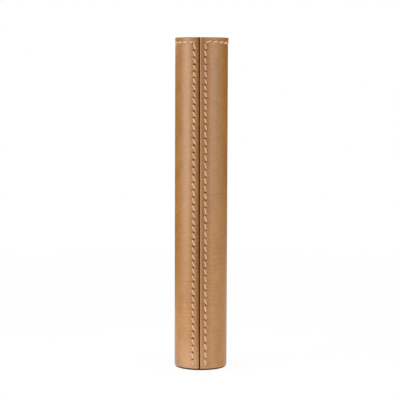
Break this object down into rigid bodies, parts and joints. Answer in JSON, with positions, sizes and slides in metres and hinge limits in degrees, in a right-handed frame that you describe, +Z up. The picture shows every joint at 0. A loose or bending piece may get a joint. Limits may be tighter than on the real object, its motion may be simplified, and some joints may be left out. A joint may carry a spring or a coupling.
{
  "type": "fountain pen case",
  "caption": "Upright leather tube case for a fountain pen: open at the mouth, suede-lined, with a stitched butt seam down the front and a glued base.",
  "frame": {"origin": "middle of the underside of the sole, on the axis of the tube", "axes": "+Z up the tube towards the mouth; the stitched seam faces -Y; +X is to the right as the seam is faced"},
  "size_m": [0.026, 0.0258, 0.16],
  "materials": {
    "tan_leather": "natural vegetable-tanned, burnished edges",
    "backing_leather": "split leather, raw edge",
    "suede": "napped suede",
    "dark_leather": "waxed dark brown",
    "grey_board": "pressed pulp board, raw",
    "linen_thread": "waxed twisted linen"
  },
  "bodies": {
    "root": {"outer_wrap": "tan_leather", "core_tube": "grey_board", "seam_backing_strip": "backing_leather", "mouth_facing_band": "backing_leather", "lining_sleeve": "suede", "base_board": "grey_board", "floor_lining_disc": "suede", "base_sole": "dark_leather", "right_seam_thread": "linen_thread", "left_seam_thread": "linen_thread", "mouth_thread": "linen_thread"}
  },
  "joints": []
}
